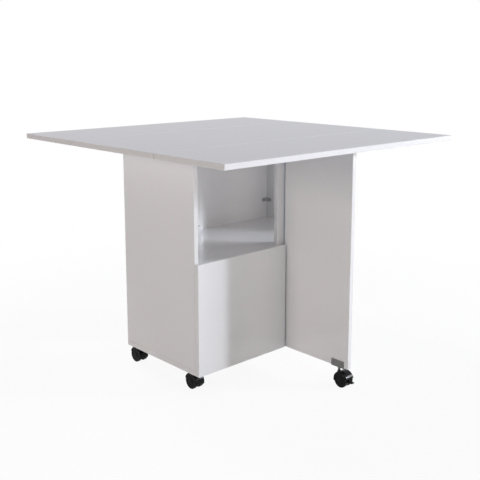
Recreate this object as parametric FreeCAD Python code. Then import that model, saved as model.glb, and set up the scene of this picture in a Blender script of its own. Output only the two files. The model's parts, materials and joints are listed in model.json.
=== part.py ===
import FreeCAD, Part
import math
import os

Vector = FreeCAD.Vector

# All lengths are millimetres. X runs along the seams of the top, -Y faces the door, Z is up from the floor.

# Boards and table top
board = 16.0
edge_break = 0.8
table_height = 760.0
top_length = 1000.0
centre_overhang = 35.0
leaf_width = 285.0
seam_gap = 2.0

# Cabinet
cabinet_width = 667.0
cabinet_depth = 356.0
caster_height = 62.0
shelf_height = 409.0
post_width = 60.0
post_offset = 14.6
notch_gap = 0.5

# Door and gates
door_overlap = 3.0
closing_gap = 0.5
door_gate_gap = 4.6
gate_offset = 50.3
gate_top_gap = 0.5

# Fits
running_fit = 0.05
overrun = 1.0

# Butt hinges under the two seams
leaf_hinge_place_shares = (-0.86, -0.36, 0.86)
leaf_hinge_length = 60.0
leaf_hinge_plate = 16.0
leaf_hinge_sheet = 1.5
leaf_barrel_radius = 2.5
leaf_pin_radius = 1.2
leaf_hinge_relief = 0.3
leaf_knuckle_gap = 0.4

# Continuous hinges of the gates
gate_hinge_margin = 3.0
gate_hinge_sheet = 1.2
gate_hinge_flap = 12.0
gate_hinge_relief = 0.3
gate_barrel_radius = 3.0
gate_pin_radius = 1.5
gate_knuckles = 12
gate_knuckle_gap = 0.5

# Concealed door hinges
cup_radius = 17.5
cup_depth = 11.5
cup_wall = 1.5
cup_edge = 5.0
cup_inset = 80.0
cup_link_width = 9.0
cup_link_height = 14.0
cup_link_reach = 8.0
hinge_plate_sheet = 2.0
hinge_plate_height = 50.0
hinge_plate_depth = 36.0
hinge_arm_width = 12.0
hinge_arm_height = 16.0
hinge_arm_length = 46.0
hinge_arm_gap = 1.2
hinge_arm_wall = 1.6

# Push latch under the shelf
latch_width = 18.0
latch_height = 15.0
latch_depth = 52.0
latch_setback = 8.0
latch_from_post = 30.0
latch_round = 2.0
plunger_radius = 4.0
plunger_nose = 0.3
plunger_stroke = 4.0
plunger_length = 40.0
plunger_nose_round = 1.2

# Corner braces
brace_leg = 26.0
brace_width = 15.0
brace_sheet = 2.0
brace_corner_round = 6.0
brace_height_shares = (0.20, 0.78)
brace_top_inset = 90.0

# Shelf pins
shelf_pin_radius = 2.5
shelf_pin_depth = 9.0
shelf_pin_reach = 11.0
shelf_pin_tongue = 9.0
shelf_pin_inset = 60.0

# Twin-wheel casters
caster_side_inset = 36.5
caster_end_inset = 31.0
caster_trail = 18.0
wheel_radius = 23.75
wheel_width = 10.2
wheel_gap = 0.8
wheel_shoulder = 1.6
wheel_rim = 3.6
wheel_dish = 1.2
wheel_boss_radius = 6.0
web_thickness = 12.0
web_inset = 1.0
axle_radius = 3.0
axle_cap = 0.8
axle_boss_radius = 8.0
hood_gap = 1.25
hood_wall = 2.2
hood_round = 1.4
hood_start_angle = 14.0
hood_end_angle = 197.0
web_start_angle = -32.0
web_end_angle = 208.0
stem_radius = 4.0
stem_flange_radius = 11.0
gate_stem_flange_radius = 6.5
stem_flange = 2.5
stem_spigot = 11.0
stem_seat_drop = 4.0
stem_end_gap = 0.5
collar_top = 24.5
collar_seat = 10.0

# Brake pedals
brake_pivot = 17.0
brake_pin_radius = 1.6
brake_eye_radius = 3.0
brake_tongue = 5.6
brake_slot_gap = 0.4
brake_slot_depth = 6.0
brake_slot_rise = 6.0
brake_slot_drop = 18.0
brake_shoe_gap = 1.05
brake_shoe_wall = 5.5
brake_shoe_width = 15.0
brake_shoe_top_angle = 9.0
brake_shoe_low_angle = -12.0
brake_tab_reach = 8.5
brake_tab_root = 4.0
brake_tab_tip = 1.8
brake_tab_droop = 2.5
brake_tab_width = 13.0

# Brackets that hold the gates' casters
bracket_length = 50.0
bracket_sheet = 2.0
bracket_flange = 21.0
bracket_bend = 1.6
front_bracket_inset = 40.0
rear_bracket_inset = 72.0

# Heights and planes that follow from the sizes above
underside = table_height - board
floor_top = caster_height + board
shelf_bottom = shelf_height - board
side_outer = cabinet_width / 2
side_inner = side_outer - board
front_face = -cabinet_depth / 2
half_length = top_length / 2
centre_width = cabinet_depth + 2 * centre_overhang
seam_line = (centre_width + seam_gap) / 2
leaf_outer = centre_width / 2 + seam_gap + leaf_width
door_back = front_face - closing_gap
door_front = door_back - board
door_right = gate_offset - board / 2 - door_gate_gap
door_top = shelf_height + door_overlap
gate_barrel_clear = gate_barrel_radius + gate_hinge_relief
gate_pivot_y = front_face - gate_barrel_clear
gate_pivot_x = gate_offset + board / 2 - (door_back - gate_pivot_y)
gate_reach = side_outer - gate_pivot_x
gate_root = gate_pivot_y - gate_barrel_clear
gate_top = underside - gate_top_gap
hood_inner = wheel_radius + hood_gap
hood_outer = hood_inner + hood_wall
caster_half_width = web_thickness / 2 + wheel_gap + wheel_width
stem_bore_radius = stem_radius + running_fit
axle_length = 2 * (caster_half_width - wheel_dish) + 2 * axle_cap


def span_box(x_span, y_span, z_span):
    """A block between a low and a high value on each axis."""
    corner = Vector(x_span[0], y_span[0], z_span[0])
    return Part.makeBox(x_span[1] - x_span[0], y_span[1] - y_span[0], z_span[1] - z_span[0], corner)


def panel(x_span, y_span, z_span):
    """A board whose arrises are all broken."""
    solid = span_box(x_span, y_span, z_span)
    return solid.makeChamfer(edge_break, solid.Edges)


def about(centre, half):
    """The span that reaches half to each side of a centre."""
    return (centre - half, centre + half)


def turned(shape):
    """A copy turned half round about the table's upright axis."""
    copy = shape.copy()
    copy.rotate(Vector(0, 0, 0), Vector(0, 0, 1), 180)
    return copy


def fused(shapes):
    """One clean solid from several that meet."""
    return shapes[0].fuse(shapes[1:]).removeSplitter()


def outline_face(points):
    """A flat face inside straight edges."""
    return Part.Face(Part.makePolygon(points + points[:1]))


def upright_tube(x, y, z_span, outer, bore):
    """A hinge knuckle about an upright pin."""
    length = z_span[1] - z_span[0]
    foot = Vector(x, y, z_span[0])
    return Part.makeCylinder(outer, length, foot).cut(Part.makeCylinder(bore, length, foot))


# Table top
def centre_top():
    return panel(about(0, half_length), about(0, centre_width / 2), (underside, table_height))


def front_leaf():
    inner = -centre_width / 2 - seam_gap
    return panel(about(0, half_length), (-leaf_outer, inner), (underside, table_height))


def leaf_hinge_spans(place):
    """The three knuckle spans of one butt hinge: two outer ones and the middle one."""
    start = place - leaf_hinge_length / 2
    third = leaf_hinge_length / 3
    half_gap = leaf_knuckle_gap / 2
    return [(start + i * third + half_gap, start + (i + 1) * third - half_gap) for i in range(3)]


def leaf_hinge_half(place, knuckles, side):
    """One flap of a butt hinge and its knuckles; side is 1 towards the centre and -1 towards the leaf."""
    axis_y = -seam_line
    axis_z = underside - leaf_barrel_radius
    clear = leaf_barrel_radius + leaf_hinge_relief
    z_span = (underside - leaf_hinge_sheet, underside)
    flap_y = sorted((axis_y + side * clear, axis_y + side * (clear + leaf_hinge_plate)))
    pieces = [span_box(about(place, leaf_hinge_length / 2), flap_y, z_span)]
    neck_y = sorted((axis_y, axis_y + side * clear))
    for span in knuckles:
        pieces.append(span_box(span, neck_y, z_span))
        foot = Vector(span[0], axis_y, axis_z)
        pieces.append(Part.makeCylinder(leaf_barrel_radius, span[1] - span[0], foot, Vector(1, 0, 0)))
    bore_foot = Vector(place - leaf_hinge_length / 2, axis_y, axis_z)
    bore_radius = leaf_pin_radius + running_fit
    bore = Part.makeCylinder(bore_radius, leaf_hinge_length, bore_foot, Vector(1, 0, 0))
    return fused(pieces).cut(bore)


def leaf_hinge_places():
    return [share * half_length for share in leaf_hinge_place_shares]


def leaf_hinge_fixed():
    flaps = []
    for place in leaf_hinge_places():
        spans = leaf_hinge_spans(place)
        flaps.append(leaf_hinge_half(place, [spans[0], spans[2]], 1))
    return Part.makeCompound(flaps)


def leaf_hinge_moving():
    flaps = []
    for place in leaf_hinge_places():
        flaps.append(leaf_hinge_half(place, [leaf_hinge_spans(place)[1]], -1))
    return Part.makeCompound(flaps)


def leaf_hinge_pins():
    pins = []
    for place in leaf_hinge_places():
        foot = Vector(place - leaf_hinge_length / 2, -seam_line, underside - leaf_barrel_radius)
        pins.append(Part.makeCylinder(leaf_pin_radius, leaf_hinge_length, foot, Vector(1, 0, 0)))
    return Part.makeCompound(pins)


# Cabinet
def shelf_pin_places():
    """The Y places of the pins at each side."""
    reach = cabinet_depth / 2 - shelf_pin_inset
    return (-reach, reach)


def side(sign):
    """One side board, with the two holes for its shelf pins; sign is 1 on the right."""
    x_span = sorted((sign * side_inner, sign * side_outer))
    solid = panel(x_span, about(0, cabinet_depth / 2), (floor_top, underside))
    for place in shelf_pin_places():
        mouth = Vector(sign * side_inner, place, shelf_bottom - shelf_pin_radius)
        depth = shelf_pin_depth + running_fit
        radius = shelf_pin_radius + running_fit
        solid = solid.cut(Part.makeCylinder(radius, depth, mouth, Vector(sign, 0, 0)))
    return solid


def cabinet_caster_places():
    """Swivel axes of the four casters under the cabinet: front left, front right, rear left, rear right."""
    x = side_outer - caster_side_inset
    y = cabinet_depth / 2 - caster_end_inset
    return [(-x, -y), (x, -y), (-x, y), (x, y)]


def bottom_panel():
    """The cabinet's floor, full size under the sides, bored for the caster spigots."""
    solid = panel(about(0, side_outer), about(0, cabinet_depth / 2), (caster_height, floor_top))
    for x, y in cabinet_caster_places():
        mouth = Vector(x, y, caster_height)
        solid = solid.cut(Part.makeCylinder(stem_bore_radius, stem_spigot + stem_end_gap, mouth))
    return solid


def front_post():
    """The upright that carries the front gate's hinge."""
    x_span = (post_offset, post_offset + post_width)
    return panel(x_span, (front_face, front_face + board), (floor_top, underside))


def shelf():
    """The full-width shelf, notched round the two posts."""
    solid = span_box(about(0, side_inner), about(0, cabinet_depth / 2), (shelf_bottom, shelf_height))
    x_span = (post_offset - notch_gap, post_offset + post_width + notch_gap)
    y_span = (front_face - overrun, front_face + board + notch_gap)
    notch = span_box(x_span, y_span, (shelf_bottom - overrun, shelf_height + overrun))
    return solid.cut(notch).cut(turned(notch))


def shelf_pins():
    """Four pins, each a round peg in the side and a flat tongue under the shelf."""
    pins = []
    for sign in (-1, 1):
        for place in shelf_pin_places():
            centre_z = shelf_bottom - shelf_pin_radius
            start = Vector(sign * (side_inner + shelf_pin_depth), place, centre_z)
            peg = Part.makeCylinder(shelf_pin_radius, shelf_pin_depth, start, Vector(-sign, 0, 0))
            x_span = sorted((sign * side_inner, sign * (side_inner - shelf_pin_reach)))
            y_span = about(place, shelf_pin_tongue / 2)
            tongue = span_box(x_span, y_span, (centre_z, shelf_bottom))
            pins.append(fused([peg, tongue]))
    return Part.makeCompound(pins)


def back_panel():
    """The fixed board over the rear right half."""
    return panel((-door_right, side_outer), (-front_face, -front_face + board), (caster_height, underside))


def brace(corner, first, second):
    """A bent steel angle in an inside corner, with its two legs along the given directions."""
    across = first.cross(second)
    base = corner - across * (brace_width / 2)
    near = first * brace_sheet + second * brace_sheet
    points = [
        base,
        base + first * brace_leg,
        base + first * brace_leg + second * brace_sheet,
        base + near,
        base + first * brace_sheet + second * brace_leg,
        base + second * brace_leg,
    ]
    solid = outline_face(points).extrude(across * brace_width)
    ends = []
    for edge in solid.Edges:
        middle = edge.CenterOfMass - corner
        at_first_end = middle.dot(first) > brace_leg - brace_sheet and edge.Length < brace_leg / 2
        at_second_end = middle.dot(second) > brace_leg - brace_sheet and edge.Length < brace_leg / 2
        if (at_first_end or at_second_end) and abs(middle.dot(across)) > brace_width / 4:
            ends.append(edge)
    return solid.makeFillet(brace_corner_round, ends)


def corner_braces():
    """Braces from the back panel to the right side, and from the sides and posts to the top."""
    left, right = Vector(-1, 0, 0), Vector(1, 0, 0)
    ahead, behind = Vector(0, -1, 0), Vector(0, 1, 0)
    down = Vector(0, 0, -1)
    braces = []
    for low, high in ((floor_top, shelf_bottom), (shelf_height, underside)):
        for share in brace_height_shares:
            place = low + share * (high - low)
            braces.append(brace(Vector(side_inner, -front_face, place), left, ahead))
    reach = cabinet_depth / 2 - brace_top_inset
    for place in (-reach, reach):
        braces.append(brace(Vector(side_inner, place, underside), left, down))
        braces.append(brace(Vector(-side_inner, place, underside), right, down))
    post_middle = post_offset + post_width / 2
    post_back = front_face + board
    braces.append(brace(Vector(post_middle, post_back, underside), behind, down))
    braces.append(brace(Vector(-post_middle, -post_back, underside), ahead, down))
    return Part.makeCompound(braces)


# Door, its concealed hinges and its push latch
def cup_places():
    """The heights of the two hinge cups."""
    return (caster_height + cup_inset, door_top - cup_inset)


def cup_centre_x():
    return -side_outer + cup_edge + cup_radius


def front_door():
    """The lower overlay door, bored for its two hinge cups."""
    solid = panel((-side_outer, door_right), (door_front, door_back), (caster_height, door_top))
    for place in cup_places():
        mouth = Vector(cup_centre_x(), door_back, place)
        bore = Part.makeCylinder(cup_radius + running_fit, cup_depth + running_fit, mouth, Vector(0, -1, 0))
        solid = solid.cut(bore)
    return solid


def door_hinge_cups():
    """Two hollow cups let into the door, each with the link that comes out of it."""
    cups = []
    for place in cup_places():
        mouth = Vector(cup_centre_x(), door_back, place)
        outer = Part.makeCylinder(cup_radius, cup_depth, mouth, Vector(0, -1, 0))
        hollow = Part.makeCylinder(cup_radius - cup_wall, cup_depth - cup_wall, mouth, Vector(0, -1, 0))
        link_x = (cup_centre_x(), cup_centre_x() + cup_link_width)
        link_y = (door_back - cup_depth + cup_wall / 2, door_back + cup_link_reach)
        link = span_box(link_x, link_y, about(place, cup_link_height / 2))
        cups.append(fused([outer.cut(hollow), link]))
    return Part.makeCompound(cups)


def door_hinge_arms():
    """Two mounting plates on the left side, each with its channel-shaped arm."""
    arms = []
    plate_x = (-side_inner, -side_inner + hinge_plate_sheet)
    arm_front = door_back + cup_link_reach + hinge_arm_gap
    for place in cup_places():
        arm_x = (-side_inner, -side_inner + hinge_plate_sheet + hinge_arm_width)
        arm_y = (arm_front, arm_front + hinge_arm_length)
        arm = span_box(arm_x, arm_y, about(place, hinge_arm_height / 2))
        hollow_x = (plate_x[1], arm_x[1] - hinge_arm_wall)
        hollow_y = (arm_y[0] - overrun, arm_y[1] + overrun)
        hollow = span_box(hollow_x, hollow_y, about(place, hinge_arm_height / 2 - hinge_arm_wall))
        middle = (arm_y[0] + arm_y[1]) / 2
        plate = span_box(plate_x, about(middle, hinge_plate_depth / 2), about(place, hinge_plate_height / 2))
        arms.append(fused([arm.cut(hollow), plate]))
    return Part.makeCompound(arms)


def latch_centre():
    """The point on the latch's axis in the plane of the door's back."""
    return Vector(post_offset - latch_from_post, door_back, shelf_bottom - latch_height / 2)


def push_latch_body():
    """The latch's case, screwed under the shelf, bored for its plunger."""
    centre = latch_centre()
    y_span = (front_face + latch_setback, front_face + latch_setback + latch_depth)
    solid = span_box(about(centre.x, latch_width / 2), y_span, (shelf_bottom - latch_height, shelf_bottom))
    lower = [edge for edge in solid.Edges if edge.CenterOfMass.z < shelf_bottom - latch_height / 3]
    solid = solid.makeFillet(latch_round, lower)
    mouth = Vector(centre.x, y_span[0], centre.z)
    depth = plunger_length + plunger_stroke - (y_span[0] - door_back) + running_fit
    return solid.cut(Part.makeCylinder(plunger_radius + running_fit, depth, mouth, Vector(0, 1, 0)))


def push_latch_plunger():
    """The sprung plunger, whose domed nose waits behind the door."""
    centre = latch_centre()
    start = Vector(centre.x, centre.y + plunger_nose, centre.z)
    solid = Part.makeCylinder(plunger_radius, plunger_length - plunger_nose, start, Vector(0, 1, 0))
    nose = [edge for edge in solid.Edges if abs(edge.CenterOfMass.y - start.y) < plunger_nose_round]
    return solid.makeFillet(plunger_nose_round, [edge for edge in nose if edge.Closed])


# Gates and their continuous hinges
def gate(bracket_inset):
    """The front gate standing open, bored from below for its caster's spigot."""
    y_span = (gate_pivot_y - gate_reach, gate_root)
    solid = panel(about(gate_offset, board / 2), y_span, (caster_height, gate_top))
    mouth = Vector(gate_offset, gate_stem_y(bracket_inset), caster_height)
    depth = stem_spigot + stem_end_gap - bracket_sheet
    return solid.cut(Part.makeCylinder(stem_bore_radius, depth, mouth))


def gate_stem_y(bracket_inset):
    """Where the caster's stem stands under the open front gate."""
    return gate_pivot_y - gate_reach + bracket_inset


def gate_hinge_span():
    return (caster_height + gate_hinge_margin, gate_top - gate_hinge_margin)


def gate_knuckle_spans(first):
    """Every second knuckle of the continuous hinge, from the first one."""
    low, high = gate_hinge_span()
    pitch = (high - low) / gate_knuckles
    half_gap = gate_knuckle_gap / 2
    return [
        (low + i * pitch + half_gap, low + (i + 1) * pitch - half_gap)
        for i in range(first, gate_knuckles, 2)
    ]


def gate_hinge_half(sheet_y, first):
    """One flap of the continuous hinge, a full-height sheet that reaches in to every second knuckle."""
    flap_left = gate_pivot_x - gate_hinge_flap
    neck_left = gate_pivot_x - gate_barrel_clear
    pieces = [span_box((flap_left, neck_left), sheet_y, gate_hinge_span())]
    bore = gate_pin_radius + running_fit
    for span in gate_knuckle_spans(first):
        knuckle = upright_tube(gate_pivot_x, gate_pivot_y, span, gate_barrel_radius, bore)
        pieces.append(fused([knuckle, span_box((neck_left, gate_pivot_x), sheet_y, span)]))
    return fused(pieces)


def gate_hinge_fixed():
    """The flap on the post's face."""
    return gate_hinge_half((front_face - gate_hinge_sheet, front_face), 0)


def gate_hinge_moving():
    """The flap on the gate's edge, folded flat against the other while the gate stands open."""
    return gate_hinge_half((gate_root, gate_root + gate_hinge_sheet), 1)


def gate_hinge_pin():
    low, high = gate_hinge_span()
    return Part.makeCylinder(gate_pin_radius, high - low, Vector(gate_pivot_x, gate_pivot_y, low))


def gate_bracket(bracket_inset):
    """A bent steel angle on the gate's outer face and under its bottom edge."""
    face_x = gate_offset - board / 2
    centre_y = gate_stem_y(bracket_inset)
    outer_x = face_x - bracket_sheet
    start_y = centre_y - bracket_length / 2
    low_z = caster_height - bracket_sheet
    points = [
        Vector(outer_x, start_y, low_z),
        Vector(face_x + board, start_y, low_z),
        Vector(face_x + board, start_y, caster_height),
        Vector(face_x, start_y, caster_height),
        Vector(face_x, start_y, caster_height + bracket_flange),
        Vector(outer_x, start_y, caster_height + bracket_flange),
    ]
    solid = outline_face(points).extrude(Vector(0, bracket_length, 0))
    bend = []
    for edge in solid.Edges:
        middle = edge.CenterOfMass
        along = abs(edge.Length - bracket_length) < running_fit
        if along and middle.x < outer_x + running_fit and middle.z < low_z + running_fit:
            bend.append(edge)
    solid = solid.makeFillet(bracket_bend, bend)
    mouth = Vector(gate_offset, centre_y, low_z)
    return solid.cut(Part.makeCylinder(stem_bore_radius, bracket_sheet, mouth))


# Casters, made with the swivel axis at the origin and the wheels trailing towards +X
def caster_stem(seat_height, flange_radius):
    """The fixed stem: a spigot, a flange that seats at the given height, and a round shank."""
    bottom = wheel_radius - stem_seat_drop + stem_end_gap
    shank = Part.makeCylinder(stem_radius, seat_height + stem_spigot - bottom, Vector(0, 0, bottom))
    flange = Part.makeCylinder(flange_radius, stem_flange, Vector(0, 0, seat_height - stem_flange))
    return fused([shank, flange])


def wheel_axis_point(r, angle, y):
    """A point at a radius and an angle above the trailing side of the wheel axis."""
    turn = math.radians(angle)
    return Vector(caster_trail + r * math.cos(turn), y, wheel_radius + r * math.sin(turn))


def swept(face, start, end):
    """A face on the trailing side, swept about the wheel axis from one angle to another."""
    centre = Vector(caster_trail, 0, wheel_radius)
    face.rotate(centre, Vector(0, -1, 0), start)
    return face.revolve(centre, Vector(0, -1, 0), end - start)


def pie(radius, half, start, end):
    """A round sector of the housing's web."""
    low, high = wheel_axis_point(0, 0, -half), wheel_axis_point(radius, 0, half)
    points = [low, Vector(high.x, low.y, low.z), high, Vector(low.x, high.y, low.z)]
    return swept(outline_face(points), start, end)


def hood():
    """The arched cover over both wheels, with its two outer edges rounded."""
    half = caster_half_width
    soft = hood_round
    slant = soft * (1 - math.sqrt(0.5))
    edges = []
    for sign in (-1, 1):
        inner = wheel_axis_point(hood_inner, 0, sign * half)
        before = wheel_axis_point(hood_outer - soft, 0, sign * half)
        through = wheel_axis_point(hood_outer - slant, 0, sign * (half - slant))
        after = wheel_axis_point(hood_outer, 0, sign * (half - soft))
        edges.append(Part.LineSegment(inner, before).toShape())
        edges.append(Part.Arc(before, through, after).toShape())
    edges.append(Part.LineSegment(edges[1].Vertexes[-1].Point, edges[3].Vertexes[-1].Point).toShape())
    edges.append(Part.LineSegment(edges[0].Vertexes[0].Point, edges[2].Vertexes[0].Point).toShape())
    wire = Part.Wire(Part.__sortEdges__(edges))
    return swept(Part.Face(wire), hood_start_angle, hood_end_angle)


def caster_housing():
    """Hood, web, axle boss and stem collar in one moulding, bored for stem, axle and pedal."""
    half = web_thickness / 2
    across = Vector(0, 1, 0)
    inner_web = pie(wheel_radius - web_inset, half, web_start_angle, web_end_angle)
    outer_web = pie(hood_inner + hood_wall / 2, half, hood_start_angle, hood_end_angle)
    boss_foot = wheel_axis_point(0, 0, -half)
    boss = Part.makeCylinder(axle_boss_radius, web_thickness, boss_foot, across)
    collar_foot = Vector(0, 0, wheel_radius + collar_seat)
    collar = Part.makeCylinder(half, collar_top - collar_seat, collar_foot)
    solid = fused([hood(), outer_web, inner_web, boss, collar])
    bore_foot = Vector(0, 0, wheel_radius - stem_seat_drop)
    bore_depth = stem_seat_drop + max(collar_top, hood_outer)
    solid = solid.cut(Part.makeCylinder(stem_bore_radius, bore_depth, bore_foot))
    solid = solid.cut(Part.makeCylinder(axle_radius + running_fit, web_thickness, boss_foot, across))
    pivot = wheel_axis_point(brake_pivot, 0, -half)
    solid = solid.cut(Part.makeCylinder(brake_pin_radius + running_fit, web_thickness, pivot, across))
    slot_x = (pivot.x - brake_slot_depth, caster_trail + hood_outer + overrun)
    slot_z = (wheel_radius - brake_slot_drop, wheel_radius + brake_slot_rise)
    slot = span_box(slot_x, about(0, brake_tongue / 2 + brake_slot_gap), slot_z)
    return solid.cut(slot)


def caster_axle():
    foot = wheel_axis_point(0, 0, -axle_length / 2)
    return Part.makeCylinder(axle_radius, axle_length, foot, Vector(0, 1, 0))


def caster_wheel(sign):
    """One dished wheel with a shouldered tread and a low boss about the axle."""
    inner = web_thickness / 2 + wheel_gap
    outer = inner + wheel_width
    dish = outer - wheel_dish
    bore = axle_radius + running_fit / 2
    rim = wheel_radius - wheel_rim
    section = [
        (bore, inner),
        (wheel_radius - wheel_shoulder, inner),
        (wheel_radius, inner + wheel_shoulder),
        (wheel_radius, outer - wheel_shoulder),
        (wheel_radius - wheel_shoulder, outer),
        (rim, outer),
        (rim - wheel_dish, dish),
        (wheel_boss_radius, dish),
        (wheel_boss_radius - wheel_dish / 2, dish + wheel_dish / 2),
        (bore, dish + wheel_dish / 2),
    ]
    face = outline_face([wheel_axis_point(r, 0, sign * y) for r, y in section])
    centre = Vector(caster_trail, 0, wheel_radius)
    return face.revolve(centre, Vector(0, 1, 0), 360)


def caster_wheels():
    return Part.makeCompound([caster_wheel(-1), caster_wheel(1)])


def brake_pedal():
    """The pedal: a pivot with its own pin, a tongue in the web's slot, a curved shoe and a tapered tab."""
    across = Vector(0, 1, 0)
    shoe_inner = wheel_radius + brake_shoe_gap
    shoe_outer = shoe_inner + brake_shoe_wall
    half_shoe = brake_shoe_width / 2
    low = wheel_axis_point(shoe_inner, 0, -half_shoe)
    high = wheel_axis_point(shoe_outer, 0, half_shoe)
    shoe_points = [low, Vector(high.x, low.y, low.z), high, Vector(low.x, high.y, low.z)]
    shoe = swept(outline_face(shoe_points), brake_shoe_low_angle, brake_shoe_top_angle)
    half_tongue = brake_tongue / 2
    pin_foot = wheel_axis_point(brake_pivot, 0, -web_thickness / 2)
    pin = Part.makeCylinder(brake_pin_radius, web_thickness, pin_foot, across)
    eye_foot = wheel_axis_point(brake_pivot, 0, -half_tongue)
    eye = Part.makeCylinder(brake_eye_radius, brake_tongue, eye_foot, across)
    pivot = wheel_axis_point(brake_pivot, 0, 0)
    shoe_middle = (shoe_inner + shoe_outer) / 2
    tongue_z = about(wheel_radius, brake_eye_radius)
    tongue = span_box((pivot.x, caster_trail + shoe_middle), about(0, half_tongue), tongue_z)
    tab_start = wheel_axis_point(shoe_middle, 0, -brake_tab_width / 2)
    tip_x = caster_trail + shoe_outer + brake_tab_reach
    tab_points = [
        tab_start,
        Vector(tip_x, tab_start.y, tab_start.z - brake_tab_droop),
        Vector(tip_x, tab_start.y, tab_start.z - brake_tab_droop - brake_tab_tip),
        Vector(tab_start.x, tab_start.y, tab_start.z - brake_tab_root),
    ]
    tab = outline_face(tab_points).extrude(Vector(0, brake_tab_width, 0))
    return fused([shoe, eye, pin, tongue, tab])


def placed(shape, place, heading):
    """A copy of a caster piece at its swivel axis, trailing along a heading in degrees from +X."""
    copy = shape.copy()
    copy.rotate(Vector(0, 0, 0), Vector(0, 0, 1), heading)
    copy.translate(Vector(place[0], place[1], 0))
    return copy


def caster_settings():
    """Each caster's name, swivel axis and heading."""
    corners = cabinet_caster_places()
    front_gate_place = (gate_offset, gate_stem_y(front_bracket_inset))
    rear_gate_place = (-gate_offset, -gate_stem_y(rear_bracket_inset))
    return [
        ("front_left", corners[0], 90),
        ("front_right", corners[1], 180),
        ("rear_left", corners[2], 90),
        ("rear_right", corners[3], 90),
        ("front_gate", front_gate_place, -90),
        ("rear_gate", rear_gate_place, -90),
    ]


def caster_nodes():
    """The four moving pieces of each caster, and the stems they turn on."""
    pieces = {
        "housing": caster_housing(),
        "axle": caster_axle(),
        "wheels": caster_wheels(),
        "brake": brake_pedal(),
    }
    found = {}
    corner_stem = caster_stem(caster_height, stem_flange_radius)
    gate_stem = caster_stem(caster_height - bracket_sheet, gate_stem_flange_radius)
    corner_stems = []
    for name, place, heading in caster_settings():
        for piece, shape in pieces.items():
            found[f"{name}_caster_{piece}"] = placed(shape, place, heading)
        if name.endswith("gate"):
            found[f"{name}_caster_stem"] = placed(gate_stem, place, 0)
        else:
            corner_stems.append(placed(corner_stem, place, 0))
    found["cabinet_caster_stems"] = Part.makeCompound(corner_stems)
    return found


def all_nodes():
    """Every piece by its name."""
    return {
        "centre_top": centre_top(),
        "front_leaf": front_leaf(),
        "rear_leaf": turned(front_leaf()),
        "front_leaf_hinge_fixed": leaf_hinge_fixed(),
        "front_leaf_hinge_moving": leaf_hinge_moving(),
        "front_leaf_hinge_pins": leaf_hinge_pins(),
        "rear_leaf_hinge_fixed": turned(leaf_hinge_fixed()),
        "rear_leaf_hinge_moving": turned(leaf_hinge_moving()),
        "rear_leaf_hinge_pins": turned(leaf_hinge_pins()),
        "left_side": side(-1),
        "right_side": side(1),
        "bottom_panel": bottom_panel(),
        "shelf": shelf(),
        "shelf_pins": shelf_pins(),
        "front_post": front_post(),
        "rear_post": turned(front_post()),
        "back_panel": back_panel(),
        "corner_braces": corner_braces(),
        "front_door": front_door(),
        "door_hinge_cups": door_hinge_cups(),
        "door_hinge_arms": door_hinge_arms(),
        "push_latch_body": push_latch_body(),
        "push_latch_plunger": push_latch_plunger(),
        "front_gate": gate(front_bracket_inset),
        "front_gate_hinge_fixed": gate_hinge_fixed(),
        "front_gate_hinge_moving": gate_hinge_moving(),
        "front_gate_hinge_pin": gate_hinge_pin(),
        "front_gate_bracket": gate_bracket(front_bracket_inset),
        "rear_gate": turned(gate(rear_bracket_inset)),
        "rear_gate_hinge_fixed": turned(gate_hinge_fixed()),
        "rear_gate_hinge_moving": turned(gate_hinge_moving()),
        "rear_gate_hinge_pin": turned(gate_hinge_pin()),
        "rear_gate_bracket": turned(gate_bracket(rear_bracket_inset)),
        **caster_nodes(),
    }


os.makedirs("parts", exist_ok=True)
for node, shape in all_nodes().items():
    shape.exportStep(f"parts/{node}.step")
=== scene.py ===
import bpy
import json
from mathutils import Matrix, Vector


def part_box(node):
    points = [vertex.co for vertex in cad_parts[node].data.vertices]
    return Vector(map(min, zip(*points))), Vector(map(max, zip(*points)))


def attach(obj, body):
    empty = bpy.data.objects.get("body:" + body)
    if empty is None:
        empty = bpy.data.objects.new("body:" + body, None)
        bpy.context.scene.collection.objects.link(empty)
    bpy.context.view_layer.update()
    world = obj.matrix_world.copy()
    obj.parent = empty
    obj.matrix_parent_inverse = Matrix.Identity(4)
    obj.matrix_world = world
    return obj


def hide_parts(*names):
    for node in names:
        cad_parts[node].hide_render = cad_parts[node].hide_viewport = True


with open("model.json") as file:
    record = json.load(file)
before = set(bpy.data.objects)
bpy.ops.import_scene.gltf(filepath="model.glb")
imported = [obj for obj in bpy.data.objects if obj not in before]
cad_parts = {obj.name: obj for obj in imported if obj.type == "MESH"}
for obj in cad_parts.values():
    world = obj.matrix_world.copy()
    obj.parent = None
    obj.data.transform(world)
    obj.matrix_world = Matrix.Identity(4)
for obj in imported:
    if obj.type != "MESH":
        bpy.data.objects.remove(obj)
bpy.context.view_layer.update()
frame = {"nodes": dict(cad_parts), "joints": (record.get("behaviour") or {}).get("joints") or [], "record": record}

import json
import math

import bmesh
import bpy
from bpy.props import FloatProperty, FloatVectorProperty, IntProperty, PointerProperty
from mathutils import Matrix, Vector

bl_info = {
    "name": "Drop-leaf gate table",
    "version": (1, 0, 0),
    "blender": (4, 5, 0),
    "location": "View3D > Sidebar > Table",
    "description": "Finishes, casters, screws and studio stage of a white drop-leaf table on casters",
    "category": "Object",
}

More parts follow.
